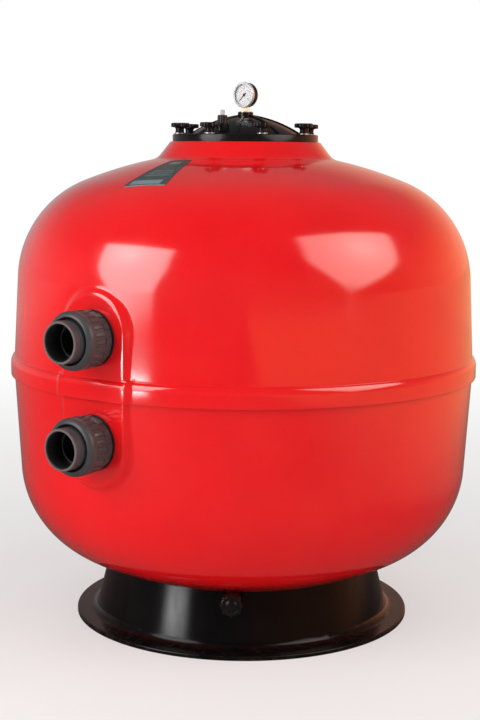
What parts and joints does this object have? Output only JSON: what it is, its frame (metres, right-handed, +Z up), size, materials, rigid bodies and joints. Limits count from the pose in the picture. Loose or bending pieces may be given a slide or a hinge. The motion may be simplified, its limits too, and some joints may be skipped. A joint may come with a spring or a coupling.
{
  "type": "sand filter tank",
  "caption": "Domed side-ported sand filter tank on a round skirt, with a bolted lid, pressure gauge, air bleed valve, two pipe unions and a drain.",
  "frame": {"origin": "on the tank's axis at floor level, in the plane of the skirt's foot", "axes": "+Z up along the tank's axis, -Y out of the two pipe unions"},
  "size_m": [0.9138, 0.9909, 1.0468],
  "materials": {
    "shell_red": "gloss gel coat",
    "skirt_black": "gloss",
    "plate_dark": "satin",
    "stud_steel": "brushed",
    "rubber": "matt",
    "pvc_grey": "satin moulded",
    "pipe_white": "satin",
    "lid_black": "gloss moulded",
    "knob_black": "satin moulded",
    "brass": "turned",
    "gauge_black": "gloss paint",
    "gauge_chrome": "polished",
    "gauge_glass": "clear",
    "gauge_white": "matt",
    "valve_black": "gloss",
    "valve_pale": "satin"
  },
  "bodies": {
    "tank": {"upper_shell": "shell_red", "lower_shell": "shell_red", "base_skirt": "skirt_black", "name_plate": "plate_dark", "lid_studs": "stud_steel", "lid_seal": "rubber", "inlet_adaptor": "pvc_grey", "outlet_adaptor": "pvc_grey", "inlet_inner_gasket": "rubber", "outlet_inner_gasket": "rubber", "inlet_outer_gasket": "rubber", "outlet_outer_gasket": "rubber", "inlet_locknut": "pvc_grey", "outlet_locknut": "pvc_grey", "inlet_face_seal": "rubber", "outlet_face_seal": "rubber", "inlet_pipe": "pipe_white", "inlet_elbow": "pipe_white", "riser_pipe": "pipe_white", "diffuser": "pipe_white", "outlet_pipe": "pipe_white", "outlet_elbow": "pipe_white", "drop_pipe": "pipe_white", "collector_hub": "pipe_white", "laterals": "pipe_white", "drain_tube": "knob_black", "drain_strainer": "pipe_white"},
    "lid": {"lid_cover": "lid_black", "lid_washers": "stud_steel", "gauge_bushing": "brass", "gauge_stem": "brass", "gauge_case": "gauge_black", "gauge_bezel": "gauge_chrome", "gauge_lens": "gauge_glass", "gauge_dial": "gauge_white", "gauge_movement": "brass", "valve_body": "valve_black", "valve_seal": "rubber"},
    "knob_1": {"lid_knob_1": "knob_black"},
    "knob_2": {"lid_knob_2": "knob_black"},
    "knob_3": {"lid_knob_3": "knob_black"},
    "knob_4": {"lid_knob_4": "knob_black"},
    "knob_5": {"lid_knob_5": "knob_black"},
    "knob_6": {"lid_knob_6": "knob_black"},
    "knob_7": {"lid_knob_7": "knob_black"},
    "knob_8": {"lid_knob_8": "knob_black"},
    "pointer": {"gauge_pointer": "gauge_black"},
    "valve_screw": {"valve_screw": "valve_pale"},
    "inlet_tail": {"inlet_union_tail": "pvc_grey"},
    "inlet_nut": {"inlet_union_nut": "pvc_grey"},
    "outlet_tail": {"outlet_union_tail": "pvc_grey"},
    "outlet_nut": {"outlet_union_nut": "pvc_grey"},
    "drain_washer": {"drain_seal": "rubber"},
    "drain_cap": {"drain_cap": "knob_black"}
  },
  "joints": [
    {"name": "lid_lift", "type": "slide", "parent": "tank", "child": "lid", "axis": [0, 0, 1], "range_m": [0, 0.15]},
    {"name": "knob_1_turn", "type": "hinge", "parent": "lid", "child": "knob_1", "pos_m": [0.0102, -0.1296, 0.955], "axis": [0, 0, 1], "continuous": true},
    {"name": "knob_2_turn", "type": "hinge", "parent": "lid", "child": "knob_2", "pos_m": [0.09885, -0.08443, 0.955], "axis": [0, 0, 1], "continuous": true},
    {"name": "knob_3_turn", "type": "hinge", "parent": "lid", "child": "knob_3", "pos_m": [0.1296, 0.0102, 0.955], "axis": [0, 0, 1], "continuous": true},
    {"name": "knob_4_turn", "type": "hinge", "parent": "lid", "child": "knob_4", "pos_m": [0.08443, 0.09885, 0.955], "axis": [0, 0, 1], "continuous": true},
    {"name": "knob_5_turn", "type": "hinge", "parent": "lid", "child": "knob_5", "pos_m": [-0.0102, 0.1296, 0.955], "axis": [0, 0, 1], "continuous": true},
    {"name": "knob_6_turn", "type": "hinge", "parent": "lid", "child": "knob_6", "pos_m": [-0.09885, 0.08443, 0.955], "axis": [0, 0, 1], "continuous": true},
    {"name": "knob_7_turn", "type": "hinge", "parent": "lid", "child": "knob_7", "pos_m": [-0.1296, -0.0102, 0.955], "axis": [0, 0, 1], "continuous": true},
    {"name": "knob_8_turn", "type": "hinge", "parent": "lid", "child": "knob_8", "pos_m": [-0.08443, -0.09885, 0.955], "axis": [0, 0, 1], "continuous": true},
    {"name": "gauge_pointer_turn", "type": "hinge", "parent": "lid", "child": "pointer", "pos_m": [0, -0.0044, 1.0223], "axis": [0, 1, 0], "range_deg": [0, 270]},
    {"name": "bleed_screw_turn", "type": "hinge", "parent": "lid", "child": "valve_screw", "pos_m": [0.00663, -0.08424, 0.98], "axis": [0, 0, 1], "range_deg": [0, 540]},
    {"name": "inlet_union_pull", "type": "slide", "parent": "tank", "child": "inlet_tail", "axis": [0, -1, 0], "range_m": [0, 0.06]},
    {"name": "inlet_nut_turn", "type": "hinge", "parent": "inlet_tail", "child": "inlet_nut", "pos_m": [0, -0.49, 0.592], "axis": [0, -1, 0], "continuous": true},
    {"name": "outlet_union_pull", "type": "slide", "parent": "tank", "child": "outlet_tail", "axis": [0, -1, 0], "range_m": [0, 0.06]},
    {"name": "outlet_nut_turn", "type": "hinge", "parent": "outlet_tail", "child": "outlet_nut", "pos_m": [0, -0.49, 0.408], "axis": [0, -1, 0], "continuous": true},
    {"name": "drain_cap_pull", "type": "slide", "parent": "tank", "child": "drain_washer", "axis": [0.5329, -0.8462, 0], "range_m": [0, 0.05]},
    {"name": "drain_cap_turn", "type": "hinge", "parent": "drain_washer", "child": "drain_cap", "pos_m": [0.16626, -0.26401, 0.098], "axis": [0.5329, -0.8462, 0], "continuous": true}
  ]
}
